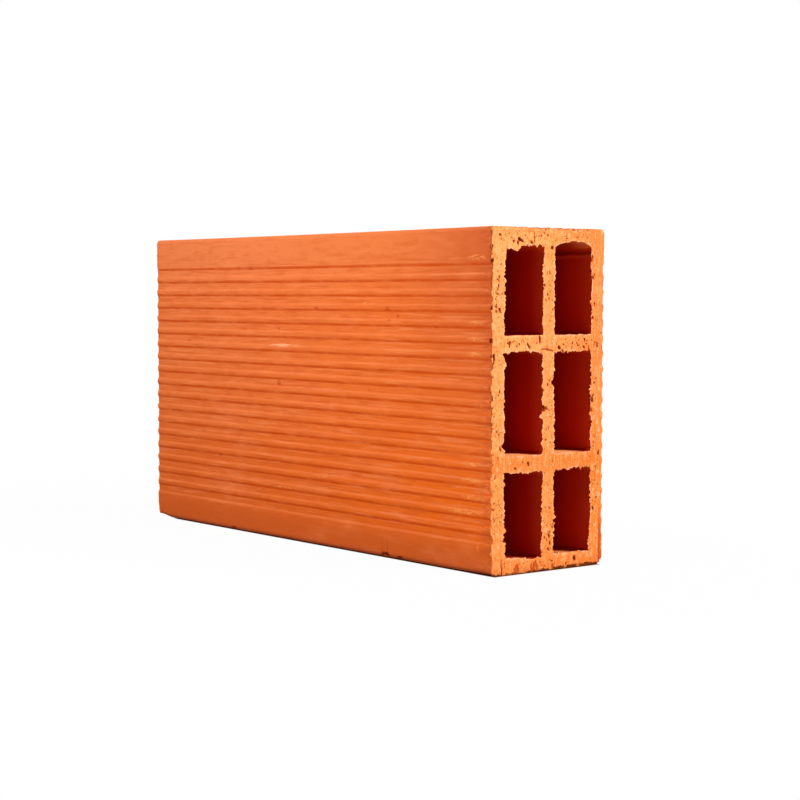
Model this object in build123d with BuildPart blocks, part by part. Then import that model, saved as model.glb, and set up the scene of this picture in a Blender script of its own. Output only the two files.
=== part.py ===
"""Hollow clay brick: one extruded, wire-cut and fired piece with six cells and combed faces."""
import os
from build123d import *

# Outside of the brick, standing on its narrow long face, in millimetres
length = 330.0
width = 80.0
height = 180.0
edge_radius = 2.5

# Walls and webs around the two columns and three rows of cells; the core sits a little low in the section
face_wall = 9.0
bed_wall = 8.5
centre_web = 8.0
cross_web = 8.5
middle_cell_height = 54.0
cell_radius = 3.0
core_drop = 1.6

# Combing of the four long faces: flat valleys between low rounded crests
rib_pitch = 8.2
rib_depth = 0.7
crest_land = 0.4
valley_floor = 3.0
flank_bend_share = 0.3
overrun = 2.0

# Plain bands left beside the combing
face_top_band = 17.6
face_bottom_band = 14.8
bed_band = 15.4

# The cells fill what the walls and webs leave, with equal top and bottom rows
cell_width = (width - 2 * face_wall - centre_web) / 2
end_cell_height = (height - 2 * bed_wall - 2 * cross_web - middle_cell_height) / 2
column_offset = (centre_web + cell_width) / 2
cell_rows = [
    (end_cell_height, bed_wall + end_cell_height / 2 - core_drop),
    (middle_cell_height, height / 2 - core_drop),
    (end_cell_height, height - bed_wall - end_cell_height / 2 - core_drop),
]

# Whole valleys that fit between the bands, centred between them
face_comb_room = height - face_top_band - face_bottom_band
face_comb_centre = face_bottom_band + face_comb_room / 2
face_valleys = round(face_comb_room / rib_pitch)
bed_valleys = round((width - 2 * bed_band) / rib_pitch)

# One valley across: flat floor, flank that turns from hollow to round, level lip; it opens towards +Y
lip = (rib_pitch - crest_land) / 2
foot = valley_floor / 2
flank_bend = (foot + flank_bend_share * (lip - foot), -rib_depth * (1 - flank_bend_share))
with BuildSketch() as valley:
    with BuildLine():
        Line((0, -rib_depth), (foot, -rib_depth))
        TangentArc((foot, -rib_depth), flank_bend, tangent=Vector(X=1))
        TangentArc((lip, 0), flank_bend, tangent=Vector(X=-1))
        Polyline((lip, 0), (lip, overrun), (0, overrun))
        mirror(about=Plane.YZ)
    make_face()

with BuildPart() as brick:
    with BuildSketch(Plane.YZ.offset(-length / 2)) as section:
        RectangleRounded(width, height, edge_radius, align=(Align.CENTER, Align.MIN))
        # Large faces, left and right of the section
        for side, turn in ((-1, 90), (1, -90)):
            with Locations((side * width / 2, face_comb_centre)):
                with GridLocations(0, rib_pitch, 1, face_valleys):
                    add(valley.sketch, rotation=turn, mode=Mode.SUBTRACT)
        # Bed faces, below and above
        for level, turn in ((0, 180), (height, 0)):
            with Locations((0, level)):
                with GridLocations(rib_pitch, 0, bed_valleys, 1):
                    add(valley.sketch, rotation=turn, mode=Mode.SUBTRACT)
        # Cells, which run through from end to end
        for cell_height, middle in cell_rows:
            with Locations((-column_offset, middle), (column_offset, middle)):
                RectangleRounded(cell_width, cell_height, cell_radius, mode=Mode.SUBTRACT)
    extrude(amount=length)

brick.part.label = "clay_brick"
os.makedirs("parts", exist_ok=True)
export_step(brick.part, "parts/clay_brick.step")
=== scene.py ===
import math
import random

import bmesh
import bpy
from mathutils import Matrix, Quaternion, Vector, kdtree, noise


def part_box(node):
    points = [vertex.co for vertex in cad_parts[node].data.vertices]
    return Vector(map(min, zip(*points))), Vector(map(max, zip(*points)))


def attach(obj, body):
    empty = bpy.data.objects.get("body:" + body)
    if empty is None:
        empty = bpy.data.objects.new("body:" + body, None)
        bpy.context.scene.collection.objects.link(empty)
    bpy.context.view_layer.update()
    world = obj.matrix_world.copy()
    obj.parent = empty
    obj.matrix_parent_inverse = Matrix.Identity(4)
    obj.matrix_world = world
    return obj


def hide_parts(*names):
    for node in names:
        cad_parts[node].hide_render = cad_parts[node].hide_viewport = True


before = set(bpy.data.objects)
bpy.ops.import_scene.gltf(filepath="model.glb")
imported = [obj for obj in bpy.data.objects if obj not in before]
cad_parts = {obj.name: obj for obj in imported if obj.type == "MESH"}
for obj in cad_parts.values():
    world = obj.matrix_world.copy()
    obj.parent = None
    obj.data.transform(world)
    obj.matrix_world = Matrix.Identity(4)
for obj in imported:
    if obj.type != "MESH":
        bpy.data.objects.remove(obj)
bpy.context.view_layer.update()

# The clay column. Soft clay is pushed through a die that combs its four long faces and cores its six cells,
# so the section is the same all along.
mm = 0.001
low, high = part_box("clay_brick")
half_length = high.x
half_width = high.y
height = high.z
same_place = 0.001 * mm
same_plane = 0.002 * mm
flat_enough = math.radians(4)
AXES = (Vector((1, 0, 0)), Vector((0, 1, 0)), Vector((0, 0, 1)))

# The wire's tears reach this far behind each end, and away from them the column is sliced more coarsely
torn_zone = 3.2 * mm
zone_steps = (5 * mm, 9 * mm, 14 * mm, 20 * mm, 28 * mm)
middle_step = 18 * mm

clay = bmesh.new()
clay.from_mesh(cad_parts["clay_brick"].data)
bmesh.ops.remove_doubles(clay, verts=clay.verts, dist=same_place)
bmesh.ops.dissolve_limit(clay, angle_limit=flat_enough, verts=clay.verts, edges=clay.edges)


def slice_clay(axis, places, wanted):
    """Cuts the clay across an axis at each place, in the wanted faces only."""
    faces = [face for face in clay.faces if wanted(face.calc_center_median())]
    ahead = sorted(faces, key=lambda face: -min(vert.co[axis] for vert in face.verts))
    reached = []
    for place in sorted(places):
        while ahead and min(vert.co[axis] for vert in ahead[-1].verts) < place:
            reached.append(ahead.pop())
        reached = [face for face in reached if max(vert.co[axis] for vert in face.verts) > place]
        # Dictionaries and not sets, because they keep their order, so every run cuts alike
        edges = dict.fromkeys(edge for face in reached for edge in face.edges)
        verts = dict.fromkeys(vert for face in reached for vert in face.verts)
        cut = bmesh.ops.bisect_plane(clay, geom=reached + list(edges) + list(verts), dist=same_plane,
                                     plane_co=AXES[axis] * place, plane_no=AXES[axis])
        reached = [item for item in cut["geom"]
                   if isinstance(item, bmesh.types.BMFace) and item.calc_center_median()[axis] > place]


def steps_between(start, end, step):
    """Evenly spaced places between two ends, about a step apart, without the ends."""
    count = max(1, round((end - start) / step))
    return [start + (end - start) * i / count for i in range(1, count)]


def both_ends(steps):
    """Places that lie these steps behind each cut end."""
    return [side * (half_length - step) for side in (-1, 1) for step in steps]


def depth_of(point):
    """How far a point lies behind the nearer cut end."""
    return half_length - abs(point.x)


def below_skin(point):
    """How far a point lies inside the brick's box, across the section."""
    return min(half_width - abs(point.y), point.z, height - point.z)


def in_column(point):
    return depth_of(point) > torn_zone


def anywhere(point):
    return True


# One cell's ceiling is arched, because the die's core was worn there
arch_left = 4 * mm
arch_right = 31 * mm
arch_spring = 162 * mm
arch_ceiling = 169.9 * mm
arch_crown = 177 * mm
arch_rise = 3.4 * mm
arch_step = 2.7 * mm


def in_arch(point):
    return in_column(point) and arch_left < point.y < arch_right and arch_spring < point.z < arch_crown


slice_clay(0, both_ends([torn_zone]), anywhere)
slice_clay(1, steps_between(arch_left, arch_right, arch_step), in_arch)
slice_clay(0, both_ends(zone_steps), in_column)
plain_length = half_length - zone_steps[-1]
slice_clay(0, steps_between(-plain_length, plain_length, middle_step), in_column)

# The knocked edges. Stacking and carting break crumbs off the long edges of the brick, most of them from
# the lower edge that it stands on.
edge_grain = 0.8 * mm
strip_width = 8 * mm
strip_height = 9 * mm
# How far the knocks are painted: towards the pits' red, and partly into their brown painted shade
knock_colour_and_shade = 0.75
pit_layer = clay.verts.layers.float.new("pit")
# Along from the middle, front or back, bottom or top, half length, half width and depth
knocks = [
    (77, -1, 0, 4.6, 3.0, 1.9),
    (90, -1, 0, 3.2, 2.4, 1.5),
    (-75, -1, 0, 3.2, 2.2, 1.2),
    (-20, -1, 0, 2.4, 1.6, 0.6),
    (163, 1, 0, 5.0, 3.4, 1.5),
    (52, 1, 1, 6.0, 2.4, 1.2),
    (-96, 1, 1, 3.5, 2.0, 0.9),
    (-40, 1, 0, 4.5, 2.4, 1.2),
    (108, 1, 0, 3.0, 1.8, 0.8),
]


def ease(share):
    """A smooth step from 0 to 1."""
    share = min(1.0, max(0.0, share))
    return share * share * (3 - 2 * share)


for along, face_side, bed, half_long, half_wide, sink in knocks:
    middle = along * mm
    edge_y = face_side * half_width
    edge_z = bed * height
    # The clay is sliced finely a little past the knock, for its broken rim
    reach = 1.25 * half_long * mm
    girth = 1.4 * half_wide * mm

    def beside(point):
        close = abs(point.y - edge_y) < strip_width and abs(point.z - edge_z) < strip_height
        return close and abs(point.x - middle) < reach + middle_step

    def within(point):
        return beside(point) and abs(point.x - middle) < reach

    start = max(middle - reach, -half_length)
    end = min(middle + reach, half_length)
    slice_clay(0, steps_between(start, end, edge_grain), beside)
    slice_clay(1, steps_between(edge_y - girth, edge_y + girth, edge_grain), within)
    slice_clay(2, steps_between(edge_z - girth, edge_z + girth, edge_grain), within)
    inward = Vector((0, -face_side, 1 - 2 * bed)).normalized()
    for vert in clay.verts:
        off_y = (vert.co.y - edge_y) / (half_wide * mm)
        off_z = (vert.co.z - edge_z) / (half_wide * mm)
        off_x = (vert.co.x - middle) / (half_long * mm)
        if abs(off_x) < 1 and abs(off_y) < 1 and abs(off_z) < 1:
            uneven = 0.35 * noise.noise(vert.co / (1.6 * mm)) + 0.25 * noise.noise(vert.co / (0.8 * mm))
            share = ease(1.1 - off_x ** 2 - off_y ** 2 - off_z ** 2 + uneven)
            vert.co += inward * sink * mm * share
            vert[pit_layer] = max(vert[pit_layer], knock_colour_and_shade * share)

# The wire-cut ends. A taut wire drags through the soft clay: it tears pits and cracks in the face, pulls
# burrs over the cell mouths and leaves the long edges ragged.
seen_grain = 0.52 * mm
hidden_grain = 0.9 * mm
seen_steps = (0.25 * mm, 0.9 * mm, 2.0 * mm)
hidden_steps = (0.6 * mm, 1.7 * mm)
on_face = 0.01 * mm
outer_edge = 3 * mm
skin_depth = 4 * mm
corner_round = 3.0
edge_reach = 2.4 * mm
rim_width = 1.2 * mm
face_swell = 0.3 * mm
foot_comb = 1.2 * mm
deep_pit = 0.7 * mm
SEEDS = {1: Vector((11.3, 4.7, 8.1)), -1: Vector((71.9, 33.2, 5.6))}


def near_end(point):
    return depth_of(point) < torn_zone


def near_seen_end(point):
    return near_end(point) and point.x > 0


def near_hidden_end(point):
    return near_end(point) and point.x < 0


for grain_size, steps, wanted in ((seen_grain, seen_steps, near_seen_end),
                                  (hidden_grain, hidden_steps, near_hidden_end)):
    slice_clay(1, steps_between(-half_width, half_width, grain_size), wanted)
    slice_clay(2, steps_between(0, height, grain_size), wanted)
    slice_clay(0, both_ends(steps), wanted)

# What the modelling leaves for the finish: torn clay, crumbly clay, cell walls, rims of the mouths, and the
# valleys of the upper and lower faces. The rims get a painted highlight, the walls and valleys painted shade.
bed_comb_half = 26 * mm
bed_comb_depth = 1 * mm
valley_depth = 0.6 * mm
cut_layer = clay.verts.layers.float.new("cut")
crumbly_layer = clay.verts.layers.float.new("crumbly")
cell_layer = clay.verts.layers.float.new("cell")
rim_layer = clay.verts.layers.float.new("rim")
valley_layer = clay.verts.layers.float.new("valley_shade")
for vert in clay.verts:
    inside = ease((below_skin(vert.co) - skin_depth) / (1 * mm))
    vert[cell_layer] = inside * ease(depth_of(vert.co) / (0.3 * mm))
    sunk = min(vert.co.z, height - vert.co.z)
    if sunk < bed_comb_depth and abs(vert.co.y) < bed_comb_half:
        vert[valley_layer] = ease(sunk / valley_depth)

# The edges of the ends, round the brick and round the cell mouths, with the way that each leans
mouths = []
for vert in clay.verts:
    if depth_of(vert.co) < on_face:
        side_normals = [face.normal for face in vert.link_faces if abs(face.normal.x) < 0.5]
        if side_normals:
            lean = sum(side_normals, Vector())
            lean.x = 0
            mouths.append((vert.co.copy(), lean.normalized()))
mouth_tree = kdtree.KDTree(len(mouths))
for number, (place, _) in enumerate(mouths):
    mouth_tree.insert(place, number)
mouth_tree.balance()

# Burrs and notches of the seen end's cell mouths: across from the front, down from the top, reach and pull
burrs = [
    (11, 10, 3.2, 0.9),
    (13.5, 10, 3.2, 1.0),
    (16, 10, 3.2, 1.1),
    (18.5, 10, 2.6, 1.2),
    (24, 10, 3.2, -0.7),
    (27.5, 10, 3.2, -0.7),
    (31, 10, 3.2, -0.7),
    (34, 10, 3.0, -0.5),
    (36, 14, 9.0, -0.8),
    (9, 16, 8.0, 0.5),
    (9, 52, 8.0, -0.5),
    (9, 71, 2.2, 1.9),
    (9, 66, 3.2, -1.2),
    (44, 78, 3.4, -1.4),
    (44, 81, 3.4, -1.4),
    (9, 94.6, 2.4, -0.9),
    (36, 98.6, 2.4, 2.0),
    (36, 95.5, 1.6, 0.7),
    (71, 98.3, 2.0, 0.9),
    (9, 117, 4.0, 0.6),
    (9, 113, 3.0, -2.4),
    (36, 150, 2.0, 0.8),
    (44, 152, 1.6, 1.1),
    (44, 155.5, 1.4, 1.2),
    (44, 159, 1.6, 1.0),
    (44, 162, 1.4, 1.1),
    (9, 157, 2.2, 1.6),
    (9, 166, 8.0, 1.1),
    (71, 166, 9.0, 1.0),
    (46.5, 127, 4.0, -0.6),
    (10.5, 173, 5.0, 2.0),
    (15.5, 173, 5.0, 1.7),
    (20.5, 173, 5.0, 1.1),
    (24, 173, 1.6, 0.8),
    (25, 173, 5.0, 0.4),
    (33, 173, 1.8, 1.0),
    (46, 173, 5.0, 1.7),
    (51, 173, 5.0, 1.4),
    (56, 173, 5.0, 1.2),
    (61, 173, 5.0, 1.1),
    (63, 173, 1.8, 0.6),
    (66, 173, 5.0, 1.0),
    (70, 173, 4.0, 0.6),
]


def on_seen_end(across, down):
    """A point of the seen end, from millimetres across from the front and down from the top."""
    return Vector((half_length, across * mm - half_width, height - down * mm))


def tear_of(place, lean, side):
    """How far the wire pulled the clay out of its edge, or tore it back when negative."""
    spot = place / mm + SEEDS[side]
    coarse = noise.noise(spot / 6.0)
    fine = noise.noise(spot / 2.3 + Vector((5, 5, 5)))
    crumbs = noise.noise(spot / 1.1 + Vector((9, 2, 7))) + 0.9 * noise.noise(spot / 0.66 + Vector((2, 8, 6)))
    teeth = max(0.0, 1 - abs(noise.noise(spot / 3.3 + Vector((4, 9, 1)))) / 0.26)
    rough = ease(0.55 + 1.2 * noise.noise(spot / 8 + Vector((1, 6, 3))))
    if below_skin(place) < outer_edge:
        # The wire goes in at the back edge and comes out at the front one, which it frays more
        frayed = 1.0 if place.y < 0 else 0.3
        return -abs(0.1 * coarse + 0.15 * fine + 0.2 * crumbs) * frayed * mm
    if lean.z > 0.5:
        # Floors stay nearly straight
        tear = 0.2 * coarse + (0.3 * fine + 0.25 * crumbs) * rough
    elif lean.z < -0.5:
        # Ceilings hang in teeth, apart from the arched one
        tear = 0.7 * coarse + (0.9 * fine + 0.8 * crumbs + 0.8 * teeth) * (0.6 + 0.45 * rough)
        if place.y > arch_left and place.z > arch_spring:
            tear *= 0.4
    else:
        tear = 0.7 * coarse + (0.75 * fine + 0.95 * crumbs + 0.5 * teeth) * (0.45 + 0.6 * rough)
    # The wire squares the cells' round corners
    tear -= 0.8 * corner_round * (1 / max(abs(lean.y), abs(lean.z)) - 1)
    if side > 0:
        for across, down, reach, size in burrs:
            tear += size * ease(1 - (place - on_seen_end(across, down)).length / (reach * mm))
    return tear * mm


# Pits and cracks of the seen end, from a point to a point, across and down, with half width and depth
pits = [
    # Wall over the top cells
    (5.4, 4.2, 5.4, 4.4, 0.64, 0.9),
    (15.0, 7.5, 14.7, 7.1, 0.75, 0.8),
    (18.8, 6.3, 19.3, 7.0, 0.99, 0.9),
    (20.7, 7.3, 21.4, 7.8, 0.7, 0.8),
    (17.5, 7.7, 17.9, 8.1, 0.52, 0.7),
    (27.2, 7.1, 27.7, 8.4, 0.58, 0.7),
    (29.5, 1.9, 29.6, 8.4, 0.32, 0.5),
    (38.9, 3.9, 38.9, 4.4, 0.46, 0.7),
    (42.1, 10.2, 42.0, 10.8, 0.7, 0.8),
    (52.6, 6.7, 52.3, 7.1, 0.52, 0.7),
    (36.8, 0.3, 40.3, 0.3, 0.41, 0.4),
    (46.1, 0.5, 51.8, 0.6, 0.46, 0.4),
    (56.2, 0.8, 60.6, 0.9, 0.46, 0.4),
    (16.5, 0.3, 21.3, 0.3, 0.46, 0.4),
    # Front edge
    (0.2, 10.3, 0.2, 10.8, 0.58, 0.8),
    (0.2, 17.5, 0.2, 18.4, 0.99, 1.0),
    (0.2, 27.2, 0.2, 29.2, 0.41, 0.6),
    (0.2, 41.4, 0.2, 42.6, 0.64, 0.8),
    (0.2, 47.0, 0.2, 49.1, 0.41, 0.6),
    (0.1, 58.0, 0.1, 59.2, 0.85, 0.9),
    (0.2, 66.2, 0.2, 67.1, 0.52, 0.7),
    # Front wall
    (6.3, 19.6, 6.3, 20.0, 0.41, 0.6),
    (5.1, 25.1, 4.9, 29.2, 0.35, 0.6),
    (4.9, 29.2, 4.1, 33.0, 0.35, 0.6),
    (3.7, 34.3, 4.0, 34.8, 0.46, 0.6),
    (6.1, 34.9, 7.7, 34.6, 0.3, 0.45),
    (7.7, 34.6, 8.4, 34.8, 0.3, 0.45),
    (3.4, 39.9, 3.5, 41.9, 0.46, 0.7),
    (5.4, 42.7, 5.7, 43.4, 0.75, 0.8),
    (3.4, 43.5, 3.5, 44.0, 0.52, 0.7),
    (1.8, 66.1, 1.7, 68.5, 0.7, 0.9),
    (1.3, 69.5, 1.4, 70.4, 0.52, 0.7),
    (5.7, 84.4, 5.7, 85.1, 0.52, 0.7),
    (5.2, 86.2, 5.3, 86.7, 0.41, 0.6),
    (5.0, 106.1, 5.0, 106.8, 0.41, 0.6),
    (3.9, 105.2, 4.0, 105.7, 0.41, 0.6),
    (6.5, 146.0, 6.5, 146.6, 0.41, 0.6),
    (8.7, 162.1, 8.7, 162.9, 0.46, 0.7),
    (7.4, 171.9, 7.5, 176.0, 0.46, 0.45),
    (7.5, 176.0, 7.6, 179.7, 0.52, 0.45),
    # Centre web
    (40.4, 23.4, 40.4, 24.0, 0.46, 0.7),
    (36.8, 30.0, 36.8, 30.6, 0.52, 0.7),
    (39.1, 34.5, 39.3, 35.3, 0.64, 0.8),
    (40.1, 36.7, 40.1, 37.2, 0.41, 0.6),
    (37.7, 37.4, 37.7, 37.9, 0.41, 0.6),
    (42.8, 42.6, 42.8, 43.2, 0.41, 0.6),
    (40.4, 79.6, 40.4, 80.1, 0.35, 0.6),
    (39.4, 81.7, 39.6, 82.4, 0.46, 0.7),
    (35.9, 84.6, 35.9, 85.4, 0.52, 0.7),
    (36.1, 93.3, 36.9, 95.2, 0.87, 0.8),
    (38.1, 93.9, 38.2, 95.5, 0.46, 0.7),
    (38.2, 110.7, 38.2, 111.3, 0.41, 0.6),
    (41.4, 112.3, 41.4, 112.8, 0.41, 0.6),
    (41.2, 146.3, 41.3, 147.4, 0.52, 0.7),
    (43.1, 157.0, 43.1, 157.8, 0.52, 0.7),
    (40.8, 161.1, 41.1, 163.2, 0.46, 0.7),
    (41.4, 164.9, 41.6, 166.5, 0.46, 0.7),
    (40.4, 168.5, 40.6, 169.5, 0.52, 0.7),
    # Back wall
    (71.8, 25.2, 71.9, 26.2, 0.58, 0.7),
    (73.4, 38.8, 73.4, 40.4, 0.46, 0.7),
    (72.0, 46.5, 72.0, 47.6, 0.58, 0.7),
    (71.6, 14.0, 71.4, 16.9, 0.41, 0.6),
    (75.4, 60.4, 75.6, 63.1, 0.41, 0.6),
    (72.0, 90.4, 72.1, 91.5, 0.64, 0.8),
    (71.6, 96.0, 71.8, 97.3, 0.7, 0.5),
    (73.0, 113.7, 73.2, 114.4, 0.46, 0.6),
    (76.8, 118.6, 77.0, 120.7, 0.52, 0.8),
    (74.6, 126.8, 74.7, 127.3, 0.41, 0.6),
    (74.6, 134.1, 74.7, 134.9, 0.41, 0.6),
    (72.9, 149.0, 72.9, 150.0, 0.7, 0.8),
    (78.7, 162.6, 78.9, 168.0, 0.58, 0.4),
    # Upper cross web
    (33.3, 56.9, 33.6, 58.2, 0.85, 0.7),
    (33.6, 58.5, 34.0, 59.8, 0.58, 0.6),
    (27.1, 55.8, 27.2, 56.4, 0.46, 0.6),
    (66.0, 58.5, 66.2, 59.8, 0.46, 0.7),
    (12.7, 59.5, 12.5, 61.7, 0.52, 0.9),
    (25.1, 60.5, 26.3, 62.5, 0.52, 0.9),
    (19.2, 60.6, 19.3, 61.2, 0.46, 0.7),
    (34.8, 63.7, 37.9, 63.4, 0.38, 0.55),
    (37.9, 63.4, 42.9, 64.5, 0.38, 0.55),
    (47.2, 62.3, 47.9, 63.2, 0.7, 0.8),
    (49.8, 63.7, 50.5, 64.3, 0.52, 0.7),
    (57.2, 60.1, 57.2, 60.8, 0.41, 0.6),
    (65.2, 62.1, 65.8, 63.2, 0.58, 0.7),
    (67.3, 60.8, 67.5, 61.6, 0.46, 0.6),
    (69.0, 63.2, 69.4, 65.1, 0.46, 0.7),
    # Lower cross web
    (25.6, 122.5, 26.0, 123.7, 0.52, 0.8),
    (16.7, 124.6, 17.1, 125.3, 0.52, 0.7),
    (21.7, 121.8, 21.9, 122.3, 0.35, 0.6),
    # Wall under the bottom cells
    (47.2, 171.8, 47.2, 173.4, 0.46, 0.7),
    (59.3, 175.0, 59.6, 175.9, 0.75, 0.8),
    (18.2, 176.0, 18.6, 178.1, 1.3, 0.36),
    (16.5, 177.4, 16.9, 178.7, 0.9, 0.36),
    (30.3, 175.0, 30.7, 179.8, 0.7, 0.45),
    (28.3, 176.4, 29.0, 179.1, 1.1, 0.32),
    (32.2, 176.2, 32.5, 178.4, 1.0, 0.3),
    (43.7, 177.6, 43.8, 179.6, 0.8, 0.4),
    (53.4, 177.5, 53.6, 178.2, 0.52, 0.5),
]
# Where it is crumbly, with smaller holes: across, down, half spreads of both, and how many
crowds = [
    (4.6, 147, 3.4, 13, 16),
    (40, 150, 3.4, 18, 14),
    (24, 4.5, 18, 3.5, 12),
    (58, 5, 14, 4, 4),
    (24, 60, 16, 2.6, 18),
    (62, 61, 14, 2.4, 16),
    (26, 123.6, 18, 1.4, 8),
    (30, 176, 22, 2.2, 12),
    (4.4, 34, 3.0, 14, 8),
    (4.4, 90, 3.0, 28, 8),
    (40, 34, 2.6, 18, 8),
    (40, 96, 2.6, 20, 8),
    (73, 50, 2.6, 34, 6),
    (73, 130, 2.6, 30, 5),
]
# Small nicks along the front edge, and stray holes all over the seen and the hidden end
front_nicks = 46
stray_holes = ((1, 80), (-1, 300))
holes = []
for across, down, across_end, down_end, half_slit, sink in pits:
    holes.append((on_seen_end(across, down), on_seen_end(across_end, down_end), half_slit * mm, sink * mm))
dice = random.Random(4)
# Without a seed, noise_vector takes its offsets from the clock
noise.seed_set(4)


def tear_out(start):
    """Adds a small torn hole that runs from a point of an end, mostly up and down."""
    turn = dice.gauss(math.pi / 2, 0.8)
    run = Vector((0, math.cos(turn), math.sin(turn))) * dice.expovariate(1.8) * mm
    half_slit = dice.uniform(0.22, 0.42) * mm
    holes.append((start, start + run, half_slit, dice.uniform(0.25, 0.65) * mm))


for across, down, half_across, half_down, count in crowds:
    for _ in range(count):
        aside = dice.uniform(-1, 1) * half_across
        tear_out(on_seen_end(across + aside, down + dice.uniform(-1, 1) * half_down))
for _ in range(front_nicks):
    tear_out(on_seen_end(dice.uniform(0.0, 0.8), dice.uniform(6, 130)))
for side, count in stray_holes:
    for _ in range(count):
        tear_out(Vector((side * half_length, dice.uniform(-half_width, half_width), dice.uniform(0, height))))

# How deep each point of an end sinks into these holes
end_verts = [vert for vert in clay.verts if depth_of(vert.co) < torn_zone - on_face]
end_tree = kdtree.KDTree(len(end_verts))
for number, vert in enumerate(end_verts):
    end_tree.insert(vert.co, number)
end_tree.balance()
sinks = [0.0] * len(end_verts)
for start, end, half_slit, sink in holes:
    run = end - start
    middle = (start + end) / 2
    for found, number, _ in end_tree.find_range(middle, run.length / 2 + 1.6 * half_slit + 0.3 * mm):
        spot = found / mm
        bent = found + noise.noise_vector(spot / 2.6) * 0.45 * mm
        along = min(1.0, max(0.0, (bent - start).dot(run) / max(run.length_squared, 1e-12)))
        aside = (bent - start - run * along).length / half_slit
        share = ease(1.15 - aside * aside + 0.6 * noise.noise(spot / 0.9 + Vector((3, 8, 1))))
        sinks[number] = max(sinks[number], sink * share)
for across, down, half_across, half_down, _ in crowds:
    middle = on_seen_end(across, down)
    for found, number, _ in end_tree.find_range(middle, max(half_across, half_down) * 1.5 * mm):
        off = ((found.y - middle.y) / half_across) ** 2 + ((found.z - middle.z) / half_down) ** 2
        share = ease(1.3 - 0.6 * off / mm ** 2)
        end_verts[number][crumbly_layer] = max(end_verts[number][crumbly_layer], share)

# The tears themselves: each point of an end moves with the nearest edge, and back into the face
moves = []
tears = {}
for vert, sink in zip(end_verts, sinks):
    place = vert.co.copy()
    side = 1 if place.x > 0 else -1
    on_end = Vector((side * half_length, place.y, place.z))
    mouth_place, number, gap = mouth_tree.find(on_end)
    lean = mouths[number][1]
    outer = below_skin(mouth_place) < outer_edge
    fade = ease(1 - depth_of(place) / torn_zone)
    if number not in tears:
        tears[number] = tear_of(mouth_place, lean, side)
    tear = tears[number]
    spot = on_end / mm + SEEDS[side]
    lumps = 0.5 + 0.5 * noise.noise(spot / 16) + 0.4 * noise.noise(spot / 4) + 0.6 * noise.noise(spot / 1.6)
    worn = (0.1 if outer else 0.25) * mm * ease(1 - gap / (1.0 * mm)) * (0.6 + noise.noise(spot / 2.5))
    back = max(0.0, face_swell * max(0.0, lumps) + worn) * fade
    move = lean * tear * fade * ease(1 - gap / edge_reach) - AXES[0] * side * (back + sink)
    if place.z < foot_comb:
        # The comb's valleys are smeared shut at the foot
        move.z -= 0.8 * (place.z + move.z) * fade * ease(0.9 + 1.5 * noise.noise(spot / 6))
    moves.append(move)
    # The torn clay wraps round the edges in some places, and the skin reaches onto the face in others
    wrap = (0.3 + 2.6 * max(0.0, noise.noise(spot / 4.5) + 0.5 * noise.noise(spot / 1.3))) * mm
    torn = ease(1.3 - depth_of(place) / wrap)
    if outer:
        patch = ease(2.5 * noise.noise(spot / 5 + Vector((2, 7, 4))) - 0.2)
        torn *= 1 - 0.9 * ease(1 - gap / (1.1 * mm)) * patch
    else:
        vert[rim_layer] = ease(1 - gap / rim_width) * fade
    vert[cut_layer] = torn
    vert[pit_layer] = max(vert[pit_layer], min(1.0, sink / deep_pit))
for vert, move in zip(end_verts, moves):
    vert.co += move

# The drying brick. While it is soft, it sags between its ends, its comb wavers, and one ceiling stays arched
# as the core left it. The front corner of its foot is pressed in at the seen end and worn round at the other.
top_sag = 0.3 * mm
sag_start = 140 * mm
sag_height = 40 * mm
comb_waver = 0.08 * mm
comb_skin = 1.5 * mm
front_start = 31 * mm
front_width = 9 * mm
pressed_in = 1.3 * mm
pressed_height = 34 * mm
pressed_length = 30 * mm
worn_up = 1.9 * mm
worn_up_height = 9 * mm
worn_up_length = 18 * mm
worn_in = 1.3 * mm
worn_in_height = 16 * mm
worn_in_length = 14 * mm
crease = math.radians(42)
for vert in clay.verts:
    place = vert.co.copy()
    spot = place / mm
    if arch_left < place.y < arch_right and arch_spring < place.z < arch_crown:
        share = (place.y - arch_left) / (arch_right - arch_left)
        bow = math.sin(math.pi * share ** 1.2) ** 0.6
        rising = ease((place.z - arch_spring) / (arch_ceiling - arch_spring))
        fading = min(1.0, (arch_crown - place.z) / (arch_crown - arch_ceiling))
        vert.co.z += arch_rise * bow * rising * fading
    if half_width - abs(place.y) < comb_skin:
        waver = comb_waver * (0.5 + 0.5 * noise.noise(Vector((spot.x / 30, spot.y / 7, spot.z / 7))))
        vert.co.y -= math.copysign(waver, place.y)
    front = ease((-place.y - front_start) / front_width)
    foot = ease(1 - place.z / pressed_height)
    vert.co.y += pressed_in * front * foot * ease(1 - (half_length - place.x) / pressed_length)
    from_end = place.x + half_length
    vert.co.z += worn_up * front * ease(1 - place.z / worn_up_height) * ease(1 - from_end / worn_up_length)
    vert.co.x += worn_in * front * ease(1 - place.z / worn_in_height) * ease(1 - from_end / worn_in_length)
    vert.co.z -= top_sag * (1 - (place.x / half_length) ** 2) * ease((place.z - sag_start) / sag_height)

clay.normal_update()
for face in clay.faces:
    face.smooth = True
for edge in clay.edges:
    edge.smooth = edge.calc_face_angle(0) < crease

brick_mesh = bpy.data.meshes.new("hollow_brick")
clay.to_mesh(brick_mesh)
clay.free()
brick = bpy.data.objects.new("hollow_brick", brick_mesh)
bpy.context.scene.collection.objects.link(brick)

# The fired clay. Iron in the clay turns it orange: the die leaves a smooth streaked skin, the cut ends are
# paler and open, and the cells are painted a deep red for the shade inside them.


def seen(red, green, blue):
    """A colour as the eye sees it, 0 to 255, in the shader's own numbers."""
    shares = [part / 255 for part in (red, green, blue)]
    return tuple(s / 12.92 if s <= 0.04045 else ((s + 0.055) / 1.055) ** 2.4 for s in shares) + (1.0,)


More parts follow.
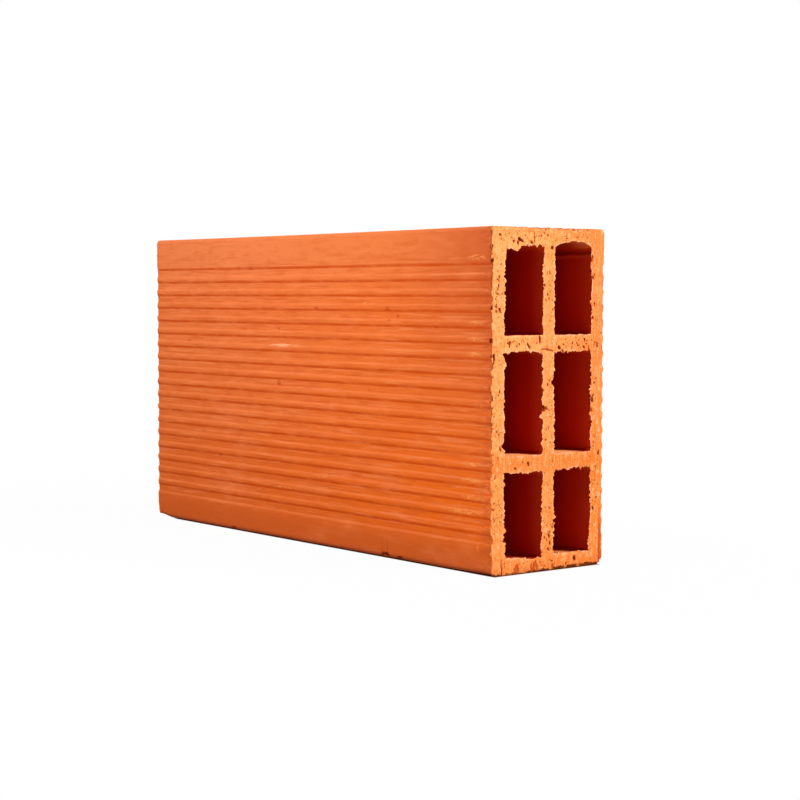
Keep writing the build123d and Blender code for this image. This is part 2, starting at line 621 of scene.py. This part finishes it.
fired = bpy.data.materials.new("fired_clay")
fired.use_nodes = True
nodes = fired.node_tree.nodes
links = fired.node_tree.links
shader = nodes["Principled BSDF"]
shader.inputs["Specular IOR Level"].default_value = 0.08
shader.inputs["Roughness"].default_value = 0.85
on_brick = nodes.new("ShaderNodeTexCoord")
in_mm = nodes.new("ShaderNodeVectorMath")
in_mm.operation = "SCALE"
in_mm.inputs["Scale"].default_value = 1 / mm
links.new(on_brick.outputs["Object"], in_mm.inputs[0])
position = nodes.new("ShaderNodeSeparateXYZ")
links.new(in_mm.outputs[0], position.inputs[0])
slope = nodes.new("ShaderNodeSeparateXYZ")
links.new(on_brick.outputs["Normal"], slope.inputs[0])


# These work in the tree that nodes and links name: the clay's here, the floor's and the room's further on
def grain(along, across, up, detail=3.0, rough=0.55):
    """Noise whose lumps are so many mm long along the brick, across it and upwards."""
    stretch = nodes.new("ShaderNodeMapping")
    stretch.inputs["Scale"].default_value = (1 / along, 1 / across, 1 / up)
    links.new(in_mm.outputs[0], stretch.inputs["Vector"])
    lumps = nodes.new("ShaderNodeTexNoise")
    lumps.inputs["Scale"].default_value = 1.0
    lumps.inputs["Detail"].default_value = detail
    lumps.inputs["Roughness"].default_value = rough
    links.new(stretch.outputs[0], lumps.inputs["Vector"])
    return lumps.outputs["Fac"]


def mask(value, start, end):
    """0 below start and 1 above end, smoothly; the other way round if start is the larger."""
    ramp = nodes.new("ShaderNodeMapRange")
    ramp.interpolation_type = "SMOOTHSTEP"
    ramp.inputs["From Min"].default_value = start
    ramp.inputs["From Max"].default_value = end
    links.new(value, ramp.inputs["Value"])
    return ramp.outputs[0]


def joined(first, second, way="MULTIPLY"):
    """The product of two values, or of a value and a number, or another way to join them."""
    sums = nodes.new("ShaderNodeMath")
    sums.operation = way
    for value, socket in zip((first, second), sums.inputs):
        if isinstance(value, (int, float)):
            socket.default_value = value
        else:
            links.new(value, socket)
    return sums.outputs[0]


def painted(under, over, amount):
    """One colour over another, by an amount from 0 to 1."""
    mix = nodes.new("ShaderNodeMix")
    mix.data_type = "RGBA"
    links.new(amount, mix.inputs["Factor"])
    for colour, socket in ((under, mix.inputs["A"]), (over, mix.inputs["B"])):
        if isinstance(colour, tuple):
            socket.default_value = colour
        else:
            links.new(colour, socket)
    return mix.outputs["Result"]


def worked(name):
    """A value that the modelling left on the mesh."""
    value = nodes.new("ShaderNodeAttribute")
    value.attribute_name = name
    return value.outputs["Fac"]


def rubbed(along, up, half_long, half_high):
    """1 in the middle of a rubbed spot on the front, in mm along from the middle and up, and 0 round it."""
    shift = nodes.new("ShaderNodeMapping")
    shift.vector_type = "TEXTURE"
    shift.inputs["Location"].default_value = (along, -half_width / mm, up)
    shift.inputs["Scale"].default_value = (half_long, 4, half_high)
    links.new(in_mm.outputs[0], shift.inputs["Vector"])
    away = nodes.new("ShaderNodeVectorMath")
    away.operation = "LENGTH"
    links.new(shift.outputs[0], away.inputs[0])
    return mask(away.outputs["Value"], 1.0, 0.3)


def rubbed_spots(spots):
    """Several rubbed spots together."""
    together = rubbed(*spots[0])
    for spot in spots[1:]:
        together = joined(together, rubbed(*spot), "MAXIMUM")
    return together


cut = worked("cut")
pit = worked("pit")
cell = worked("cell")
rim = worked("rim")
valley_shade = worked("valley_shade")
crumbly = worked("crumbly")
along = position.outputs["X"]
across = position.outputs["Y"]
up = position.outputs["Z"]
facing = slope.outputs["Z"]
outward = joined(along, 0.0, "ABSOLUTE")

# The combed skin: paler along the top and deeper towards the foot, partly its own tone and partly painted
# light and shade, deeper to the right, with drag lines from the die
# Paler upwards: partly the clay's tone, partly painted light from above
left_skin = painted(seen(231, 107, 40), seen(237, 120, 60), mask(up, 25, 120))
left_skin = painted(left_skin, seen(241, 130, 75), mask(up, 135, 172))
right_skin = painted(seen(240, 108, 25), seen(239, 115, 44), mask(up, 25, 120))
right_skin = painted(right_skin, seen(239, 126, 64), mask(up, 135, 172))
skin = painted(left_skin, right_skin, mask(along, -130, 150))
# Painted shade along the lowest part of the face
skin = painted(skin, seen(216, 97, 36), joined(mask(up, 22, 8), 0.9))
# Painted shade over the upper right of the face, where less light falls
shaded = joined(mask(along, 60, 165), mask(up, 40, 172))
skin = painted(skin, seen(204, 91, 44), joined(shaded, 0.76))
skin = painted(skin, seen(247, 134, 78), joined(mask(grain(50, 20, 20), 0.5, 0.7), 0.35))
combed = joined(mask(up, 12, 18), mask(up, 168, 162))
streaky = joined(joined(combed, 0.3), 0.12, "ADD")
drags = joined(mask(grain(30, 1.3, 1.3, 4), 0.5, 0.68), streaky)
skin = painted(skin, seen(208, 88, 32), drags)
wipes = joined(mask(grain(36, 1.6, 1.6, 4), 0.52, 0.68), streaky)
skin = painted(skin, seen(251, 146, 92), wipes)
# Painted shade in the valleys of the upper and lower faces
skin = painted(skin, seen(212, 90, 36), joined(valley_shade, 0.5))
skin = painted(skin, seen(218, 94, 36), joined(mask(grain(16, 3.5, 3.5, 3), 0.44, 0.7), 0.4))
# Painted shade on the down-facing flanks of the comb and on the underside, broken along its length, and a
# painted highlight on the up-facing flanks and the top face, for light from above
lines = mask(grain(18, 4, 4, 4), 0.25, 0.6)
skin = painted(skin, seen(218, 80, 9), joined(joined(mask(facing, -0.03, -0.4), lines), 0.85))
skin = painted(skin, seen(250, 140, 84), joined(mask(facing, 0.04, 0.45), 0.3))

# Its wear: pale scuffs and one scrape, a browner strip by the seen end, and dark flecks; then painted shade
# along its foot. Spots are given along from the middle and up, with half length and half height.
scuffs = rubbed_spots((
    (60, 140, 9, 1.0),
    (153.5, 164.2, 10, 2.2),
    (152.7, 130.6, 8, 1.8),
    (153, 121.9, 9, 1.6),
    (152, 114.4, 8, 2.0),
    (152, 57.0, 13, 1.6),
    (149, 48.7, 11, 1.5),
    (153.5, 39.7, 15, 1.8),
    (143, 31.9, 23, 2.0),
    (154, 14.5, 1.2, 3),
    (-21, 30.9, 14, 0.9),
    (16, 40.4, 9, 0.9),
    (-121, 32.8, 6, 0.9),
))
scuffs = joined(scuffs, mask(grain(4.5, 1.0, 1.0, 4, 0.7), 0.42, 0.6))
skin = painted(skin, seen(251, 154, 82), joined(scuffs, 0.8))
scrape = joined(rubbed(-20, 115, 23, 1.1), mask(grain(9, 1, 1, 3), 0.34, 0.52))
skin = painted(skin, seen(255, 190, 144), joined(scrape, 0.75))
# A browner streaky strip on the skin next to the seen end
browner_near_end = joined(mask(along, 150, 164), mask(grain(6, 1.6, 1.6, 4), 0.4, 0.6))
skin = painted(skin, seen(192, 84, 42), joined(browner_near_end, 0.6))
dark_fleck = rubbed(-26.6, 92.8, 3.2, 2.0)
faint_flecks = rubbed_spots((
    (-56, 160.3, 5.0, 1.2),
    (-108, 144.8, 4.0, 1.0),
    (12, 137.2, 3.4, 1.3),
    (-26.5, 124.5, 2.4, 1.3),
    (-127, 116, 2.0, 1.2),
    (78.3, 137.0, 3.2, 1.6),
    (87, 133.3, 2.0, 1.2),
    (80, 130.6, 2.4, 1.4),
    (119.6, 127.8, 3.2, 1.4),
    (-90, 45.2, 2.2, 1.5),
    (-63, 124, 2.0, 1.2),
    (40, 71, 2.2, 1.3),
))
flecks = joined(dark_fleck, joined(faint_flecks, 0.6), "MAXIMUM")
flecks = joined(flecks, mask(grain(2.4, 1.2, 1.2, 3), 0.36, 0.56))
skin = painted(skin, seen(172, 52, 4), joined(flecks, 0.8))
# Painted shade along the foot, darkest in a thin line where it meets the floor
skin = painted(skin, seen(150, 74, 44), joined(mask(up, 4, 0.5), 0.7))
skin = painted(skin, seen(72, 30, 10), joined(mask(up, 1.0, 0.2), 0.85))

# The torn ends: pale open clay, yellower at the front and deeper at the foot, dragged down by the wire
ends = painted(seen(254, 169, 97), seen(247, 134, 65), mask(across, -25, 40))
ends = painted(ends, seen(250, 128, 34), joined(mask(up, 130, 0), 0.5))
ends = painted(ends, seen(238, 114, 34), joined(joined(mask(up, 50, 54), mask(up, 64, 60)), 0.6))
ends = painted(ends, seen(242, 114, 34), joined(mask(up, 14, 3), 0.25))
ends = painted(ends, seen(232, 116, 44), joined(mask(grain(1.7, 1.7, 1.7, 5), 0.46, 0.66), 0.65))
ends = painted(ends, seen(238, 126, 52), joined(mask(grain(7, 6, 7, 3), 0.5, 0.68), 0.4))
ends = painted(ends, seen(255, 194, 140), joined(mask(grain(3.4, 2.6, 2.6, 4), 0.54, 0.7), 0.6))
ends = painted(ends, seen(255, 186, 114), joined(mask(grain(1, 0.8, 8, 3), 0.52, 0.66), 0.55))
ends = painted(ends, seen(234, 124, 54), joined(mask(grain(1, 0.7, 7, 3, 0.6), 0.54, 0.68), 0.55))
crumbling = joined(crumbly, mask(grain(5, 5, 5, 2), 0.4, 0.6))
specks = joined(grain(0.9, 0.9, 1.1, 3), joined(crumbling, 0.1), "ADD")
ends = painted(ends, seen(150, 52, 8), joined(mask(specks, 0.65, 0.71), 0.85))
# Painted highlight along the rims of the cell mouths, where the burrs catch the light
ends = painted(ends, seen(255, 194, 154), joined(joined(rim, mask(grain(2.2, 2.2, 2.2, 3), 0.46, 0.6)), 0.8))
# Painted shadow in a ragged dark line along the foot of the ends, wider across the middle of the end
ragged = joined(up, joined(grain(2.5, 2.5, 2.5, 3), -3.0), "ADD")
wider_middle_shadow = joined(mask(across, -8, 6), mask(across, 38, 30))
ragged = joined(ragged, joined(wider_middle_shadow, -0.6), "ADD")
shadow_line = joined(mask(ragged, -0.4, -0.9), mask(grain(8, 8, 8, 2), 0.36, 0.5))
ends = painted(ends, seen(84, 26, 2), joined(shadow_line, 0.9))
colour = painted(skin, ends, mask(cut, 0.15, 0.75))
# Painted shade: a thin dark red-brown line where the skin meets the torn clay, above about 50 mm up
brim = joined(joined(mask(cut, 0.03, 0.2), mask(cut, 0.85, 0.45)), mask(grain(3, 3, 3, 3), 0.36, 0.54))
colour = painted(colour, seen(146, 48, 14), joined(joined(brim, mask(up, 50, 85)), 0.8))

# The cells, in painted light and shade: deep red walls that darken inwards, and floors that are pale just
# inside some mouths, where the lamp reaches in
# Painted shade: the walls are a deep red that darkens inwards
walls = painted(seen(166, 18, 2), seen(196, 30, 5), mask(outward, 128, 150))
# Painted light towards the mouths
walls = painted(walls, seen(224, 76, 24), joined(mask(outward, 152, 165), 0.6))
# Painted light on the walls of the back column of cells
walls = painted(walls, seen(206, 54, 12), joined(joined(mask(across, 2, 8), mask(outward, 130, 158)), 0.5))
# Painted light on the ceilings, as if lit from below by the floors
walls = painted(walls, seen(208, 64, 14), joined(mask(facing, -0.3, -0.7), 0.8))
# Painted light in a band under the arched ceiling near its mouth
arched = joined(joined(mask(facing, -0.3, -0.7), mask(up, 160, 164)), mask(across, 2, 5))
walls = painted(walls, seen(240, 124, 60), joined(joined(arched, mask(outward, 148, 161)), 0.85))
# Painted shade: the floors are a dark red
floors = mask(facing, 0.3, 0.8)
walls = painted(walls, seen(158, 18, 4), floors)
# A painted pool of light, pale, on the floors just inside the seen end's mouths in the middle row and the
# bottom right cell, fading out towards each cell's far wall where its shade falls
open_side = joined(mask(across, -7, -13), joined(mask(across, 1, 3), mask(across, 28, 22)), "MAXIMUM")
middle_row = joined(mask(up, 58, 60), mask(up, 66, 63))
bottom_right = joined(joined(mask(up, 12, 9), mask(across, 1, 3)), 0.6)
lit_floor = joined(joined(floors, mask(along, 147, 153)), joined(middle_row, bottom_right, "MAXIMUM"))
walls = painted(walls, seen(252, 164, 100), joined(lit_floor, open_side))
# A painted highlight line and a painted shadow band along the back wall of the arched cell, for a ledge and a
# groove that the mesh lacks
ledge_highlight = joined(mask(across, 26, 29), joined(mask(up, 163.8, 165.2), mask(up, 166.8, 165.4)))
walls = painted(walls, seen(214, 74, 30), joined(ledge_highlight, 0.8))
groove_shade = joined(mask(across, 26, 29), joined(mask(up, 165.8, 167.2), mask(up, 169.0, 167.4)))
walls = painted(walls, seen(110, 6, 0), joined(groove_shade, 0.6))
colour = painted(colour, walls, mask(cell, 0.0, 0.5))

# The pits and knocks: raw clay, red where shallow, and brown where deep, which is painted shade
colour = painted(colour, seen(204, 88, 32), mask(pit, 0.12, 0.4))
colour = painted(colour, seen(122, 36, 8), mask(pit, 0.45, 0.9))
links.new(colour, shader.inputs["Base Color"])

# The finest relief: drawn lines on the skin, and open grain on the torn ends
relief = nodes.new("ShaderNodeBump")
relief.inputs["Strength"].default_value = 0.5
relief.inputs["Distance"].default_value = 0.25 * mm
drawn_lines = joined(grain(12, 0.8, 0.8, 4), 0.35)
open_grain = joined(grain(0.9, 0.9, 1.4, 5, 0.65), cut)
links.new(joined(drawn_lines, open_grain, "ADD"), relief.inputs["Height"])
links.new(relief.outputs["Normal"], shader.inputs["Normal"])
brick_mesh.materials.append(fired)

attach(brick, "root")
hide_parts("clay_brick")

# The floor: a plain white sheet that shows the brick's shadow and a painted contact shadow where it touches,
# and runs out into the white of the room.
floor_size = 30
shadow_strip_shift = (-2.5 * mm, 1.5 * mm, 0)
shadow_strip_half = (half_length - 2.5 * mm, half_width - 3.5 * mm, 0)
floor_mesh = bpy.data.meshes.new("floor")
sheet = bmesh.new()
bmesh.ops.create_grid(sheet, x_segments=1, y_segments=1, size=floor_size)
sheet.to_mesh(floor_mesh)
sheet.free()
floor = bpy.data.objects.new("floor", floor_mesh)
bpy.context.scene.collection.objects.link(floor)
floor_paint = bpy.data.materials.new("floor_paint")
floor_paint.use_nodes = True
nodes = floor_paint.node_tree.nodes
links = floor_paint.node_tree.links
nodes.clear()
out = nodes.new("ShaderNodeOutputMaterial")
mix = nodes.new("ShaderNodeMixShader")
matt = nodes.new("ShaderNodeBsdfDiffuse")
glow = nodes.new("ShaderNodeEmission")
glow.inputs["Color"].default_value = (1, 1, 1, 1)
on_floor = nodes.new("ShaderNodeTexCoord")

# How far a point lies beyond the painted shadow strip along the brick's foot
shifted = nodes.new("ShaderNodeVectorMath")
shifted.inputs[1].default_value = shadow_strip_shift
links.new(on_floor.outputs["Object"], shifted.inputs[0])
folded = nodes.new("ShaderNodeVectorMath")
folded.operation = "ABSOLUTE"
links.new(shifted.outputs[0], folded.inputs[0])
outside = nodes.new("ShaderNodeVectorMath")
outside.operation = "SUBTRACT"
outside.inputs[1].default_value = shadow_strip_half
links.new(folded.outputs[0], outside.inputs[0])
sides = nodes.new("ShaderNodeSeparateXYZ")
links.new(outside.outputs[0], sides.inputs[0])
beyond = joined(joined(sides.outputs["X"], 0.6), sides.outputs["Y"], "MAXIMUM")
# Painted contact shadow: the floor is dark red-brown in a thin strip round the brick's foot
painted_contact_shadow = painted((0.5, 0.5, 0.5, 1), seen(96, 34, 8), mask(beyond, 1.8 * mm, 0.8 * mm))
links.new(painted_contact_shadow, matt.inputs["Color"])
spread = nodes.new("ShaderNodeSeparateXYZ")
links.new(on_floor.outputs["Object"], spread.inputs[0])
# Under the worn-up front corner at the hidden end the floor shows plain white to the eye, painted light in
# place of the shadow there
worn_along = mask(spread.outputs["X"], -142 * mm, -150 * mm)
white_under_corner = joined(worn_along, mask(spread.outputs["Y"], -28 * mm, -36 * mm))


def background_rays():
    """1 for rays that show the background, straight from the camera, mirrored or refracted."""
    path = nodes.new("ShaderNodeLightPath")
    rays = joined(path.outputs["Is Camera Ray"], path.outputs["Is Glossy Ray"], "MAXIMUM")
    return joined(rays, path.outputs["Is Transmission Ray"], "MAXIMUM")


white = joined(mask(beyond, 0.8 * mm, 2.2 * mm), white_under_corner, "MAXIMUM")
white = joined(joined(white, 0.98), joined(mask(beyond, 20 * mm, 300 * mm), 0.02), "ADD")
links.new(joined(background_rays(), white), mix.inputs["Fac"])
links.new(matt.outputs[0], mix.inputs[1])
links.new(glow.outputs[0], mix.inputs[2])
links.new(mix.outputs[0], out.inputs["Surface"])
floor_mesh.materials.append(floor_paint)

# The room: white all round, a soft key lamp before the cut end, a nearer lamp over the combed face, and a
# weak one behind.
room = bpy.data.worlds.new("room")
bpy.context.scene.world = room
room.use_nodes = True
nodes = room.node_tree.nodes
links = room.node_tree.links
air = nodes["Background"]
air.inputs["Color"].default_value = (1, 1, 1, 1)
brightness = nodes.new("ShaderNodeMapRange")
brightness.inputs["To Min"].default_value = 0.22
brightness.inputs["To Max"].default_value = 1.0
links.new(background_rays(), brightness.inputs["Value"])
links.new(brightness.outputs[0], air.inputs["Strength"])

centre = (low + high) / 2


def hang_lamp(name, towards, distance, size, level):
    """An area lamp that faces the brick; a level of 1 shows a colour square to it as written."""
    lamp = bpy.data.lights.new(name, "AREA")
    lamp.shape = "DISK"
    lamp.size = size
    lamp.energy = level * (math.pi * distance) ** 2
    holder = bpy.data.objects.new(name, lamp)
    direction = Vector(towards).normalized()
    holder.location = centre + direction * distance
    holder.rotation_mode = "QUATERNION"
    holder.rotation_quaternion = direction.to_track_quat("Z", "Y")
    bpy.context.scene.collection.objects.link(holder)


hang_lamp("end_lamp", (0.70, 0.45, 0.55), 1.6, 0.4, 1.09)
hang_lamp("face_lamp", (0.05, -0.81, 0.57), 0.7, 0.35, 0.70)
hang_lamp("back_lamp", (-0.75, 0.40, 0.25), 1.8, 1.0, 0.3)

# The camera. It stands low, to the right of the combed face and before the cut end, and its long lens keeps
# the brick's edges nearly parallel.
camera = bpy.data.cameras.new("camera")
camera.lens = 81.63
camera.sensor_width = 36
eye = bpy.data.objects.new("camera", camera)
eye.location = (0.86080, -0.65192, 0.14411)
eye.rotation_mode = "QUATERNION"
aim = Vector((-0.78197, 0.62069, -0.05717)).to_track_quat("-Z", "Y")
eye.rotation_quaternion = aim @ Quaternion((0, 0, 1), 0.0019)
bpy.context.scene.collection.objects.link(eye)
bpy.context.scene.camera = eye

bpy.context.scene.view_settings.view_transform = "Standard"
